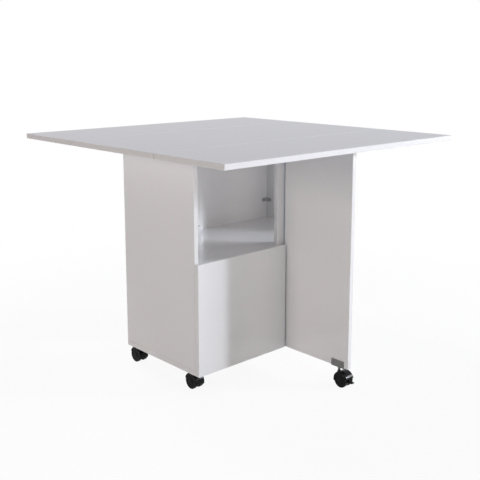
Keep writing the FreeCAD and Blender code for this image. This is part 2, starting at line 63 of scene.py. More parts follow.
TOP_BOARDS = ("centre_top", "front_leaf", "rear_leaf")
LAMPS = ("key", "side", "front", "left", "rear")
LAMP_PARTS = ("place", "aim", "width", "height", "power", "tone")
BRACES = ("corner_braces",)
STEELS = ("hinge_steel", "bright_steel", "dark_steel")
PLASTICS = ("latch_plastic", "black_nylon", "wheel_nylon")
MIX_FACTOR = 0
MIX_FIRST = 6
MIX_SECOND = 7
MIX_RESULT = 2
CLOUD_DETAIL = 3.0
PEEL_DETAIL = 1.0
GRAIN_DETAIL = 2.0
DRAWN_SCALE = (1.0, 1.0, 0.1)
SURFACE_IOR = 1.5
WHITE = (1.0, 1.0, 1.0, 1.0)
FLOOR_GREY = (0.9, 0.9, 0.9, 1.0)
FLOOR_SIDES = 96
SENSOR_WIDTH = 36.0


# Settings that a user would change
def length(name, description, default):
    """A size in metres."""
    return FloatProperty(name=name, description=description, default=default, unit="LENGTH", precision=5)


def share(name, description, default):
    """A plain share between nothing and all."""
    return FloatProperty(name=name, description=description, default=default, subtype="FACTOR", min=0, max=1)


def colour(name, description, default):
    """A linear colour."""
    return FloatVectorProperty(
        name=name, description=description, default=default, subtype="COLOR", size=3, min=0, max=1
    )


def angle(name, description, default):
    """An angle, given in degrees."""
    return FloatProperty(
        name=name, description=description, default=math.radians(default), subtype="ANGLE"
    )


def spot(name, description, default):
    """A place in metres."""
    return FloatVectorProperty(
        name=name, description=description, default=default, subtype="XYZ", unit="LENGTH", size=3
    )


class BoardFinish(bpy.types.PropertyGroup):
    """The lacquer on every board."""

    lacquer: colour("Lacquer", "Colour of the lacquer", (0.86, 0.86, 0.865))
    cloud: colour("Cloud", "Slightly deeper tone of the lacquer", (0.84, 0.84, 0.847))
    gloss: share("Roughness", "Roughness of the lacquer on the cabinet", 0.14)
    shine: share("Shine", "Strength of the reflections on the cabinet", 0.5)
    top_gloss: share("Top roughness", "Roughness of the matt lacquer on the top", 0.6)
    top_shine: share("Top shine", "Strength of the reflections on the top", 0.0)
    gloss_change: share("Roughness change", "How much the roughness changes over a board", 0.05)
    cloud_size: length("Cloud size", "Size of the patches of tone", 0.35)
    peel_size: length("Peel size", "Size of the fine waves left by the spray", 0.0024)
    peel_depth: length("Peel depth", "Depth of the fine waves", 0.000012)


class FittingFinish(bpy.types.PropertyGroup):
    """The metals and plastics of the fittings, with painted light in the hinge steel's tone."""

    # Hinge steel is partly painted light. It has the tone of zinc-plated steel, made lighter and bluer and only
    # partly metallic, so that the hinge line in its shaded gap looks lit.
    hinge_steel: colour("Hinge steel", "Zinc-plated steel of the hinges", (0.80, 0.84, 0.89))
    hinge_steel_roughness: share("Hinge roughness", "Roughness of the hinge steel", 0.42)
    hinge_steel_metal: share("Hinge metal", "How metallic the hinge steel looks", 0.35)
    bright_steel: colour("Bright steel", "Nickel-plated steel", (0.60, 0.61, 0.63))
    bright_steel_roughness: share("Bright roughness", "Roughness of the nickel-plated steel", 0.30)
    bright_steel_metal: share("Bright metal", "How metallic the nickel-plated steel looks", 1.0)
    dark_steel: colour("Dark steel", "Dark coated sheet steel", (0.19, 0.19, 0.196))
    dark_steel_roughness: share("Dark roughness", "Roughness of the dark steel", 0.46)
    dark_steel_metal: share("Dark metal", "How metallic the dark steel looks", 0.2)
    brace_steel: colour("Brace steel", "Grey zinc of the corner braces", (0.50, 0.50, 0.51))
    brace_steel_roughness: share("Brace roughness", "Roughness of the corner braces", 0.50)
    brace_steel_metal: share("Brace metal", "How metallic the corner braces look", 0.2)
    steel_deeper: share("Steel grain tone", "Tone of the grain's deep parts against the steel's", 0.86)
    steel_change: share("Steel roughness change", "How much the grain changes the roughness", 0.12)
    black_nylon: colour("Black nylon", "Moulded nylon of hoods and pedals", (0.006, 0.006, 0.0065))
    black_nylon_roughness: share("Hood roughness", "Roughness of hoods and pedals", 0.20)
    black_nylon_shine: share("Hood shine", "Strength of the reflections on hoods and pedals", 0.12)
    wheel_nylon: colour("Wheel nylon", "Moulded nylon of the wheels", (0.008, 0.008, 0.0083))
    wheel_nylon_roughness: share("Wheel roughness", "Roughness of the wheels", 0.50)
    wheel_nylon_shine: share("Wheel shine", "Strength of the reflections on the wheels", 0.07)
    latch_plastic: colour("Latch plastic", "Pale plastic of the push latch", (0.55, 0.55, 0.56))
    latch_plastic_roughness: share("Latch roughness", "Roughness of the push latch", 0.45)
    latch_plastic_shine: share("Latch shine", "Strength of the reflections on the push latch", 0.5)
    # The screw recess colour is painted shade. A near-black cross laid on top of each head stands in for the
    # shadow inside a real cross recess.
    screw_recess: colour("Screw recess", "Shade inside the screw recesses", (0.02, 0.02, 0.021))
    screw_recess_roughness: share("Recess roughness", "Roughness inside the screw recesses", 0.8)
    screw_recess_shine: share("Recess shine", "Strength of the reflections in the recesses", 0.5)
    plastic_lighter: FloatProperty(name="Plastic grain", description="Tone of raised grain", default=1.12)
    plastic_change: share("Plastic roughness change", "How much the grain changes the roughness", 0.10)
    grain_size: length("Grain size", "Size of the grain in metal and nylon", 0.0012)
    grain_depth: length("Grain depth", "Depth of that grain", 0.00001)


class CasterSizes(bpy.types.PropertyGroup):
    """A twin-wheel caster with its hood and its brake pedal."""

    wheel_width: length("Wheel width", "Width of one wheel", 0.0102)
    wheel_gap: length("Wheel gap", "Gap between wheel and web", 0.0008)
    shoulder: length("Shoulder", "Rounding of the tread's edges", 0.0016)
    rim: length("Rim", "Width of the rim beside the dished disc", 0.0024)
    dish: length("Dish", "Depth of the dished disc", 0.0012)
    boss: length("Boss", "Radius of the wheel's boss", 0.006)
    axle: length("Axle", "Radius of the axle", 0.003)
    axle_dome: length("Axle dome", "Height of the axle's domed end", 0.0008)
    web: length("Web", "Thickness of the web between the wheels", 0.012)
    web_inset: length("Web inset", "How far the web stays inside the tread", 0.001)
    hood_gap: length("Hood gap", "Gap between tread and hood", 0.00125)
    hood_wall: length("Hood wall", "Thickness of the hood", 0.0022)
    hood_start: angle("Hood start", "Where the hood begins above the trailing side", 14)
    hood_end: angle("Hood end", "Where the hood ends at the leading side", 197)
    web_start: angle("Web start", "Where the web begins", -32)
    web_end: angle("Web end", "Where the web ends", 208)
    collar: length("Collar", "Radius of the collar about the stem", 0.0052)
    collar_foot: length("Collar foot", "Radius of the collar's flared foot", 0.0072)
    collar_top: length("Collar top", "Height of the collar above the axle", 0.0245)
    shoe_gap: length("Shoe gap", "Gap between tread and brake shoe", 0.00105)
    shoe_wall: length("Shoe wall", "Thickness of the brake shoe", 0.0055)
    shoe_width: length("Shoe width", "Width of the brake shoe", 0.015)
    shoe_low: angle("Shoe low end", "Where the shoe begins below the trailing side", -12)
    shoe_top: angle("Shoe top end", "Where the shoe ends above the trailing side", 9)
    tongue: length("Tongue", "Width of the pedal's tongue in the web's slot", 0.0056)
    tongue_depth: length("Tongue depth", "Height of that tongue", 0.006)
    tab_reach: length("Tab reach", "How far the foot tab reaches past the shoe", 0.0085)
    tab_root: length("Tab root", "Thickness of the tab at its root", 0.004)
    tab_tip: length("Tab tip", "Thickness of the tab at its tip", 0.0018)
    tab_droop: length("Tab droop", "How far the tab falls towards its tip", 0.0025)
    tab_width: length("Tab width", "Width of the tab", 0.013)
    softness: length("Softness", "Rounding of the moulded edges", 0.0005)
    steps: IntProperty(name="Steps", description="Steps in a whole turn", default=72, min=12)


class ScrewSizes(bpy.types.PropertyGroup):
    """Screw heads on the fittings, in head radii where no unit is given."""

    leaf_head: length("Leaf hinge head", "Head radius on the leaf hinges", 0.0028)
    gate_head: length("Gate hinge head", "Head radius on the gate hinges", 0.0022)
    plate_head: length("Plate head", "Head radius on brackets, braces and plates", 0.0030)
    post_head: length("Post head", "Head radius of the screw in a post", 0.0026)
    head_height: FloatProperty(name="Head height", description="Height in head radii", default=0.26)
    head_top: FloatProperty(name="Head top", description="Flat top in head radii", default=0.72)
    recess_reach: FloatProperty(name="Recess reach", description="Recess length in head radii", default=1.0)
    recess_width: FloatProperty(name="Recess width", description="Recess width in head radii", default=0.24)
    recess_lift: FloatProperty(name="Recess lift", description="Lift of the mark in head radii", default=0.02)
    sides: IntProperty(name="Sides", description="Sides of a head", default=20, min=8)


class StageSettings(bpy.types.PropertyGroup):
    """Floor, lamps and camera."""

    floor_radius: length("Floor radius", "Radius of the floor", 9.0)
    shade_share: share("Shade", "How much of its shadow the floor shows", 0.08)
    shade_near: length("Shade near", "Distance within which the floor shows shadow in full", 0.7)
    shade_far: length("Shade far", "Distance beyond which the floor is plain white", 1.9)
    ambient: colour("Ambient", "Even light from all around", (0.04, 0.04, 0.04))
    key_place: spot("Key place", "Where the key lamp stands", (5.62, -6.08, 3.3))
    key_aim: spot("Key aim", "What the key lamp points at", (0.0, -0.2, 0.45))
    key_width: length("Key width", "Width of the key lamp", 0.5)
    key_height: length("Key height", "Height of the key lamp", 1.0)
    key_power: FloatProperty(name="Key power", description="Watts of the key lamp", default=309.0)
    key_tone: colour("Key tone", "Colour of the key lamp", (0.84, 0.90, 1.0))
    side_place: spot("Side place", "Where the soft side lamp stands", (5.3, -4.3, 2.5))
    side_aim: spot("Side aim", "What the soft side lamp points at", (0.0, -0.1, 0.5))
    side_width: length("Side width", "Width of the soft side lamp", 2.0)
    side_height: length("Side height", "Height of the soft side lamp", 1.8)
    side_power: FloatProperty(name="Side power", description="Watts of the soft side lamp", default=234.0)
    side_tone: colour("Side tone", "Colour of the soft side lamp", (0.92, 0.94, 1.0))
    front_place: spot("Front place", "Where the low front lamp stands", (0.75, -6.0, 1.45))
    front_aim: spot("Front aim", "What the low front lamp points at", (0.0, 0.0, 0.5))
    front_width: length("Front width", "Width of the low front lamp", 4.0)
    front_height: length("Front height", "Height of the low front lamp", 0.9)
    front_power: FloatProperty(name="Front power", description="Watts of the low front lamp", default=64.0)
    front_tone: colour("Front tone", "Colour of the low front lamp", (1.0, 0.905, 0.84))
    left_place: spot("Left place", "Where the left lamp stands", (-7.0, -0.1, 1.95))
    left_aim: spot("Left aim", "What the left lamp points at", (0.0, -0.2, 0.4))
    left_width: length("Left width", "Width of the left lamp", 2.0)
    left_height: length("Left height", "Height of the left lamp", 2.0)
    left_power: FloatProperty(name="Left power", description="Watts of the left lamp", default=115.0)
    left_tone: colour("Left tone", "Colour of the left lamp", (1.0, 0.89, 0.81))
    rear_place: spot("Rear place", "Where the high rear lamp stands", (-0.6, 4.6, 6.4))
    rear_aim: spot("Rear aim", "What the high rear lamp points at", (0.0, 0.0, 0.7))
    rear_width: length("Rear width", "Width of the high rear lamp", 2.0)
    rear_height: length("Rear height", "Height of the high rear lamp", 1.8)
    rear_power: FloatProperty(name="Rear power", description="Watts of the high rear lamp", default=260.0)
    rear_tone: colour("Rear tone", "Colour of the high rear lamp", (0.97, 0.96, 1.0))
    camera_place: spot("Camera place", "Where the camera stands", (-1.7305, -1.8880, 1.0234))
    camera_yaw: angle("Camera yaw", "Camera's turn from +Y towards +X", 42.74)
    camera_pitch: angle("Camera pitch", "Camera's fall below level", 10.14)
    camera_lens: FloatProperty(name="Lens", description="Focal length in millimetres", default=57.94)
    camera_shift: FloatProperty(name="Shift", description="Upright shift of the lens", default=-0.10)


class TableSettings(bpy.types.PropertyGroup):
    """Everything that can be set on the table."""

    boards: PointerProperty(type=BoardFinish, name="Boards", description="Lacquer on the boards")
    fittings: PointerProperty(type=FittingFinish, name="Fittings", description="Metals and plastics")
    casters: PointerProperty(type=CasterSizes, name="Casters", description="Sizes of the casters")
    screws: PointerProperty(type=ScrewSizes, name="Screws", description="Sizes of the screw heads")
    stage: PointerProperty(type=StageSettings, name="Stage", description="Floor, lamps and camera")


def settings():
    return bpy.context.scene.drop_leaf_table


# Node trees
class Value:
    """A number in a node tree that can take part in sums."""

    def __init__(self, graph, socket):
        self.graph = graph
        self.socket = socket

    def joined(self, operation, first, second):
        return self.graph.node("ShaderNodeMath", {"operation": operation}, {0: first, 1: second})

    def __add__(self, other):
        return self.joined("ADD", self, other)

    def __radd__(self, other):
        return self.joined("ADD", other, self)

    def __sub__(self, other):
        return self.joined("SUBTRACT", self, other)

    def __rsub__(self, other):
        return self.joined("SUBTRACT", other, self)

    def __mul__(self, other):
        return self.joined("MULTIPLY", self, other)

    def __rmul__(self, other):
        return self.joined("MULTIPLY", other, self)


class Graph:
    """A node tree under construction."""

    def __init__(self, tree):
        self.tree = tree
        tree.nodes.clear()

    def node(self, kind, choices, sockets, output=0):
        """Adds a node with its choices set first, then its values and links; gives one output."""
        made = self.tree.nodes.new(kind)
        for choice, value in choices.items():
            setattr(made, choice, value)
        for key, value in sockets.items():
            if isinstance(value, Value):
                self.tree.links.new(value.socket, made.inputs[key])
            else:
                made.inputs[key].default_value = value
        return Value(self, made.outputs[output]) if made.outputs else None


def tint(tone):
    """A colour for a socket, from a linked value or from three parts."""
    return tone if isinstance(tone, Value) else (*tone, 1.0)


def new_material(name):
    material = bpy.data.materials.new(f"{name}_finish")
    material.use_nodes = True
    return material, Graph(material.node_tree)


def finish_of(slot):
    """The material that was made for one slot."""
    return bpy.data.materials[f"{slot}_finish"]


def surface(graph, sockets):
    """One shader over the whole surface."""
    shader = graph.node("ShaderNodeBsdfPrincipled", {}, sockets)
    graph.node("ShaderNodeOutputMaterial", {}, {"Surface": shader})


def noise(graph, place, grain, detail):
    sockets = {"Vector": place, "Scale": 1 / grain, "Detail": detail}
    return graph.node("ShaderNodeTexNoise", {}, sockets, "Fac")


def object_place(graph):
    return graph.node("ShaderNodeTexCoord", {}, {}, "Object")


def relief(graph, height, depth):
    """The bump that a height pattern of the given depth makes."""
    sockets = {"Height": height, "Distance": depth, "Strength": 1.0}
    return graph.node("ShaderNodeBump", {}, sockets, "Normal")


def between(graph, mask, first, second):
    """A colour between two others."""
    sockets = {MIX_FACTOR: mask, MIX_FIRST: tint(first), MIX_SECOND: tint(second)}
    return graph.node("ShaderNodeMix", {"data_type": "RGBA"}, sockets, MIX_RESULT)


def lacquer(name, gloss, shine):
    """Sprayed lacquer: nearly even white, with very fine waves."""
    sizes = settings().boards
    material, graph = new_material(name)
    place = object_place(graph)
    cloud = noise(graph, place, sizes.cloud_size, CLOUD_DETAIL)
    peel = noise(graph, place, sizes.peel_size, PEEL_DETAIL)
    surface(graph, {
        "Base Color": between(graph, cloud, sizes.cloud, sizes.lacquer),
        "Roughness": gloss + sizes.gloss_change * (cloud - 0.5),
        "Normal": relief(graph, peel, sizes.peel_depth),
        "Specular IOR Level": shine,
        "IOR": SURFACE_IOR,
    })
    return material


def steel(name):
    """Plated or coated steel with a fine drawn grain."""
    sizes = settings().fittings
    # For the hinge steel this tone holds painted light as well as the zinc's own colour.
    tone = getattr(sizes, name)
    material, graph = new_material(name)
    stretch = {"Vector": object_place(graph), "Scale": DRAWN_SCALE}
    drawn = graph.node("ShaderNodeMapping", {}, stretch)
    grain = noise(graph, drawn, sizes.grain_size, GRAIN_DETAIL)
    deeper = [part * sizes.steel_deeper for part in tone]
    surface(graph, {
        "Base Color": between(graph, grain, deeper, tone),
        "Metallic": getattr(sizes, f"{name}_metal"),
        "Roughness": getattr(sizes, f"{name}_roughness") + sizes.steel_change * (grain - 0.5),
        "Normal": relief(graph, grain, sizes.grain_depth),
    })
    return material


def moulded(name):
    """Moulded nylon or plastic with a fine even grain; also the near-black painted shade of the screw recesses."""
    sizes = settings().fittings
    tone = getattr(sizes, name)
    material, graph = new_material(name)
    grain = noise(graph, object_place(graph), sizes.grain_size, GRAIN_DETAIL)
    lighter = [part * sizes.plastic_lighter for part in tone]
    surface(graph, {
        "Base Color": between(graph, grain, tone, lighter),
        "Roughness": getattr(sizes, f"{name}_roughness") + sizes.plastic_change * (grain - 0.5),
        "Normal": relief(graph, grain, sizes.grain_depth),
        "Specular IOR Level": getattr(sizes, f"{name}_shine"),
        "IOR": SURFACE_IOR,
    })
    return material


def slot_nodes(slot):
    """The pieces of the frame that take a finish."""
    return [part["node"] for part in frame["record"]["subparts"] if part["material_slot"] == slot]


def paint(nodes, material):
    for name in nodes:
        mesh = frame["nodes"][name].data
        mesh.materials.clear()
        mesh.materials.append(material)


# Meshes
CORNER_STEPS = 4
FULL_TURN = 2 * math.pi
SHARP_ANGLE = math.radians(50)
SMOOTH_ANGLE = math.radians(38)
SOFT_SEGMENTS = 2
SOFT_PROFILE = 0.5
HOOD_SOFT_SHARE = 0.9
FLARE_SHARE = 0.3
FLARE_RISE_SHARE = 0.45
NECK_RISE_SHARE = 0.7
AXLE_CORE = 0.0001


def joint_place(name):
    for joint in frame["joints"]:
        if joint["name"] == name:
            return Vector(joint["pos_m"])
    raise KeyError(f"the frame has no joint named {name}")


def softened(corners):
    """A closed outline whose corners are rounded; each corner has two coordinates and a radius."""
    outline = []
    for index, (first, second, radius) in enumerate(corners):
        corner = Vector((first, second))
        if radius == 0:
            outline.append(corner)
            continue
        before = Vector(corners[index - 1][:2]) - corner
        after = Vector(corners[(index + 1) % len(corners)][:2]) - corner
        start = corner + before.normalized() * min(radius, before.length / 2)
        end = corner + after.normalized() * min(radius, after.length / 2)
        for step in range(CORNER_STEPS + 1):
            part = step / CORNER_STEPS
            outline.append(start.lerp(corner, part).lerp(corner.lerp(end, part), part))
    return outline


def add_strip(shape, near, far, finishes):
    """Faces between two rings of points."""
    for index, finish in enumerate(finishes):
        after = (index + 1) % len(near)
        face = shape.faces.new((near[index], near[after], far[after], far[index]))
        face.material_index = finish


class CasterShape:
    """Builds pieces in a caster's own frame: the swivel axis at the origin, the wheels trailing to +X."""

    def __init__(self, name):
        swivel = joint_place(f"{name}_swivel")
        axle = joint_place(f"{name}_roll")
        offset = (axle - swivel).xy
        self.sizes = settings().casters
        self.trail = offset.length
        self.radius = axle.z
        turn = Matrix.Rotation(math.atan2(offset.y, offset.x), 4, "Z")
        self.place = Matrix.Translation((swivel.x, swivel.y, 0)) @ turn
        self.shape = bmesh.new()

    def point(self, radius, turn, across):
        """A point at a distance and an angle from the wheel axis."""
        x = self.trail + radius * math.cos(turn)
        return Vector((x, across, self.radius + radius * math.sin(turn)))

    def sweep(self, section, start, end, finishes=None):
        """Sweeps a closed section of radius and width about the wheel axis."""
        finishes = finishes or [0] * len(section)
        whole = math.isclose(end - start, FULL_TURN)
        steps = max(2, round(self.sizes.steps * (end - start) / FULL_TURN))
        turns = [start + (end - start) * step / steps for step in range(steps + (0 if whole else 1))]
        rings = []
        for turn in turns:
            rings.append([self.shape.verts.new(self.point(r, turn, y)) for r, y in section])
        for near, far in zip(rings, rings[1:]):
            add_strip(self.shape, near, far, finishes)
        if whole:
            add_strip(self.shape, rings[-1], rings[0], finishes)
        else:
            self.shape.faces.new(rings[0])
            self.shape.faces.new(rings[-1])

    def slab(self, outline, width):
        """An upright outline of length and height, with a width across."""
        sides = []
        for across in (-width / 2, width / 2):
            sides.append([self.shape.verts.new((x, across, z)) for x, z in outline])
        add_strip(self.shape, sides[0], sides[1], [0] * len(outline))
        for side in sides:
            self.shape.faces.new(side)

    def turned(self, profile):
        """A profile of radius and height, turned about the swivel axis."""
        rings = []
        steps = self.sizes.steps // 2
        for step in range(steps):
            turn = FULL_TURN * step / steps
            reach = Vector((math.cos(turn), math.sin(turn)))
            rings.append([self.shape.verts.new((r * reach.x, r * reach.y, z)) for r, z in profile])
        for near, far in zip(rings, rings[1:] + rings[:1]):
            for low in range(len(profile) - 1):
                self.shape.faces.new((near[low], far[low], far[low + 1], near[low + 1]))
        self.shape.faces.new([ring[0] for ring in rings])
        self.shape.faces.new([ring[-1] for ring in rings])

    def finished(self, name, materials, softness):
        """The piece as an object at the origin, with its place in its mesh."""
        shape = self.shape
        bmesh.ops.recalc_face_normals(shape, faces=shape.faces)
        if softness:
            sharp = [edge for edge in shape.edges if edge.calc_face_angle(0) > SHARP_ANGLE]
            bmesh.ops.bevel(
                shape, geom=sharp, offset=softness, affect="EDGES",
                segments=SOFT_SEGMENTS, profile=SOFT_PROFILE
            )
        shape.transform(self.place)
        for face in shape.faces:
            face.smooth = True
        mesh = bpy.data.meshes.new(name)
        shape.to_mesh(mesh)
        shape.free()
        mesh.set_sharp_from_angle(angle=SMOOTH_ANGLE)
        for material in materials:
            mesh.materials.append(material)
        piece = bpy.data.objects.new(name, mesh)
        bpy.context.scene.collection.objects.link(piece)
        return piece


def hood_piece(name, materials):
    """Arched hood, web and flared collar in one moulding."""
    work = CasterShape(name)
    sizes = work.sizes
    half = sizes.web / 2 + sizes.wheel_gap + sizes.wheel_width
    inner = work.radius + sizes.hood_gap
    outer = inner + sizes.hood_wall
    soft = sizes.hood_wall * HOOD_SOFT_SHARE
    section = softened([(inner, -half, 0), (outer, -half, soft), (outer, half, soft), (inner, half, 0)])
    work.sweep(section, sizes.hood_start, sizes.hood_end)
    web_half = sizes.web / 2
    web_radius = work.radius - sizes.web_inset
    core = [(sizes.axle, -web_half), (web_radius, -web_half), (web_radius, web_half), (sizes.axle, web_half)]
    work.sweep(core, sizes.web_start, sizes.web_end)
    middle = inner + sizes.hood_wall / 2
    ridge = [(web_radius, -web_half), (middle, -web_half), (middle, web_half), (web_radius, web_half)]
    work.sweep(ridge, sizes.hood_start, sizes.hood_end)
    top = work.radius + sizes.collar_top
    drop = math.sqrt(outer ** 2 - work.trail ** 2)
    foot = work.radius + drop - sizes.collar_foot / 2
    rise = top - foot
    flare = sizes.collar + (sizes.collar_foot - sizes.collar) * FLARE_SHARE
    work.turned([
        (sizes.collar, foot - sizes.collar_foot),
        (sizes.collar_foot, foot),
        (flare, foot + rise * FLARE_RISE_SHARE),
        (sizes.collar, foot + rise * NECK_RISE_SHARE),
        (sizes.collar, top - sizes.softness),
        (sizes.collar - sizes.softness, top),
    ])
    return work.finished(f"{name}_caster_hood", materials, sizes.softness)


def wheel_piece(name, materials):
    """Two dished wheels on their axle."""
    work = CasterShape(name)
    sizes = work.sizes
    inner = sizes.web / 2 + sizes.wheel_gap
    outer = inner + sizes.wheel_width
    rim = work.radius - sizes.rim
    dish = outer - sizes.dish
    for side in (-1, 1):
        corners = [
            (sizes.axle, side * inner, 0),
            (work.radius, side * inner, sizes.shoulder),
            (work.radius, side * outer, sizes.shoulder),
            (rim, side * outer, sizes.dish / 2),
            (rim - sizes.dish, side * dish, sizes.dish / 2),
            (sizes.boss, side * dish, 0),
            (sizes.boss - sizes.dish, side * (dish + sizes.dish / 2), 0),
            (sizes.axle, side * (dish + sizes.dish / 2), 0),
        ]
        section = softened(corners)
        finishes = [1 if point.x > rim - sizes.dish / 2 else 0 for point in section]
        work.sweep(section, 0, FULL_TURN, finishes)
    reach = dish + sizes.axle_dome
    axle = [(AXLE_CORE, -reach), (sizes.axle - sizes.axle_dome, -reach), (sizes.axle, -dish)]
    axle += [(radius, -across) for radius, across in reversed(axle)]
    work.sweep(axle, 0, FULL_TURN, [1] * len(axle))
    return work.finished(f"{name}_caster_wheel_pair", materials, 0)


def pedal_piece(name, materials):
    """Brake pedal: curved shoe, tongue in the web and a tapered foot tab."""
    work = CasterShape(name)
    sizes = work.sizes
    half = sizes.shoe_width / 2
    inner = work.radius + sizes.shoe_gap
    outer = inner + sizes.shoe_wall
    shoe = [(inner, -half), (outer, -half), (outer, half), (inner, half)]
    work.sweep(shoe, sizes.shoe_low, sizes.shoe_top)
    middle = work.trail + (inner + outer) / 2
    pivot = joint_place(f"{name}_brake_press")
    swivel = joint_place(f"{name}_swivel")
    root = (pivot - swivel).xy.length
    low = work.radius - sizes.tongue_depth / 2
    high = work.radius + sizes.tongue_depth / 2
    work.slab([(root, low), (middle, low), (middle, high), (root, high)], sizes.tongue)
    tip = work.trail + outer + sizes.tab_reach
    tip_top = work.radius - sizes.tab_droop
    work.slab([
        (middle, work.radius),
        (middle, work.radius - sizes.tab_root),
        (tip, tip_top - sizes.tab_tip),
        (tip, tip_top),
    ], sizes.tab_width)
    return work.finished(f"{name}_caster_pedal", materials, sizes.softness)


def caster_names():
    ending = "_swivel"
    return [joint["name"][:-len(ending)] for joint in frame["joints"] if joint["name"].endswith(ending)]


# Screws
LEAF_HINGE_SHARES = (-0.86, -0.36, 0.86)
LEAF_SCREW_STEPS = (-0.02, 0.0, 0.02)
LEAF_FLAP_EDGE = 0.008
LEAF_FLAP_SHEET = 0.0015
GATE_SCREW_COUNT = 9
GATE_SCREW_INSET = 0.03
GATE_FLAP_EDGE = 0.0043
GATE_SHEET = 0.0012
BRACKET_SCREW_STEPS = (-0.016, 0.016)
BRACKET_SCREW_RISE = 0.014
BRACE_SHEET = 0.002
BRACE_SCREW_REACH = 0.016
BRACE_SHARES = (0.20, 0.78)
BRACE_TOP_INSET = 0.090
PLATE_SCREW_STEPS = (-0.019, 0.019)
PLATE_SHEET = 0.002
CUP_INSET = 0.080
POST_SCREW_RISE = 0.017
POST_SCREW_SHIFT = 0.012


class ScrewList:
    """Screw places gathered by the body that they ride on."""

    def __init__(self):
        self.found = {}

    def add(self, body, place, facing, head):
        self.found.setdefault(body, []).append((Vector(place), Vector(facing), head))

    def add_pair(self, kind, place, facing, head):
        """One screw at the front and its fellow at the rear, turned half round."""
        turn = Matrix.Rotation(math.pi, 3, "Z")
        self.add(f"front_{kind}", place, facing, head)
        self.add(f"rear_{kind}", turn @ Vector(place), turn @ Vector(facing), head)


def middle_of(low, high):
    return (low + high) / 2


def leaf_hinge_screws(screws, head):
    """Three screws in each flap of the butt hinges, from below."""
    down = Vector((0, 0, -1))
    half_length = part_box("centre_top")[1].x
    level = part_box("centre_top")[0].z - LEAF_FLAP_SHEET
    fixed_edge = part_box("front_leaf_hinge_fixed")[1].y - LEAF_FLAP_EDGE
    moving_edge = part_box("front_leaf_hinge_moving")[0].y + LEAF_FLAP_EDGE
    for part in LEAF_HINGE_SHARES:
        for step in LEAF_SCREW_STEPS:
            x = part * half_length + step
            screws.add("cabinet", (x, fixed_edge, level), down, head)
            screws.add("cabinet", (-x, -fixed_edge, level), down, head)
            screws.add_pair("leaf", (x, moving_edge, level), down, head)


def gate_hinge_screws(screws, head):
    """A row of screws down each flap of the continuous hinges."""
    low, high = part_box("front_gate_hinge_fixed")
    behind = Vector((0, 1, 0))
    x = low.x + GATE_FLAP_EDGE
    fixed_y = high.y - GATE_SHEET
    moving_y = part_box("front_gate_hinge_moving")[0].y + GATE_SHEET
    pitch = (high.z - low.z - 2 * GATE_SCREW_INSET) / (GATE_SCREW_COUNT - 1)
    for step in range(GATE_SCREW_COUNT):
        z = low.z + GATE_SCREW_INSET + step * pitch
        screws.add("cabinet", (x, fixed_y, z), -behind, head)
        screws.add("cabinet", (-x, -fixed_y, z), behind, head)
        screws.add_pair("gate", (x, moving_y, z), behind, head)


def bracket_screws(screws, head):
    """Two screws through each caster bracket into its gate."""
    for name, outward in (("front_gate", -1), ("rear_gate", 1)):
        low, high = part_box(f"{name}_bracket")
        x = low.x if outward < 0 else high.x
        centre = middle_of(low.y, high.y)
        for step in BRACKET_SCREW_STEPS:
            screws.add(name, (x, centre + step, low.z + BRACKET_SCREW_RISE), (outward, 0, 0), head)


def brace_screws(screws, corner, first, second, head):
    """One screw in each leg of a bent brace."""
    screws.add("cabinet", corner + first * BRACE_SCREW_REACH + second * BRACE_SHEET, second, head)
    screws.add("cabinet", corner + second * BRACE_SCREW_REACH + first * BRACE_SHEET, first, head)


def all_brace_screws(screws, head):
    left, right = Vector((-1, 0, 0)), Vector((1, 0, 0))
    ahead, behind = Vector((0, -1, 0)), Vector((0, 1, 0))
    down = Vector((0, 0, -1))
    side_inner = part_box("right_side")[0].x
    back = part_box("back_panel")[0].y
    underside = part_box("centre_top")[0].z
    floor_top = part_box("bottom_panel")[1].z
    shelf_low, shelf_high = (corner.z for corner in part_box("shelf"))
    for low, high in ((floor_top, shelf_low), (shelf_high, underside)):
        for part in BRACE_SHARES:
            corner = Vector((side_inner, back, low + part * (high - low)))
            brace_screws(screws, corner, left, ahead, head)
    reach = back - BRACE_TOP_INSET
    for place in (-reach, reach):
        brace_screws(screws, Vector((side_inner, place, underside)), left, down, head)
        brace_screws(screws, Vector((-side_inner, place, underside)), right, down, head)
    post_low, post_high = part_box("front_post")
    post_middle = middle_of(post_low.x, post_high.x)
    brace_screws(screws, Vector((post_middle, post_high.y, underside)), behind, down, head)
    brace_screws(screws, Vector((-post_middle, -post_high.y, underside)), ahead, down, head)


def door_hinge_screws(screws, head):
    """Two screws in each mounting plate inside the left side."""
    low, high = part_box("door_hinge_arms")
    door_low, door_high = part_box("front_door")
    y = middle_of(low.y, high.y)
    for height in (door_low.z + CUP_INSET, door_high.z - CUP_INSET):
        for step in PLATE_SCREW_STEPS:
            screws.add("cabinet", (low.x + PLATE_SHEET, y, height + step), (1, 0, 0), head)


def post_screws(screws, head):
    """The screw that shows low on the inner face of each post, just above the shelf."""
    low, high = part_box("rear_post")
    x = middle_of(low.x, high.x) + POST_SCREW_SHIFT
    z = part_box("shelf")[1].z + POST_SCREW_RISE
    screws.add("cabinet", (x, low.y, z), (0, -1, 0), head)
    screws.add("cabinet", (-x, -low.y, z), (0, 1, 0), head)


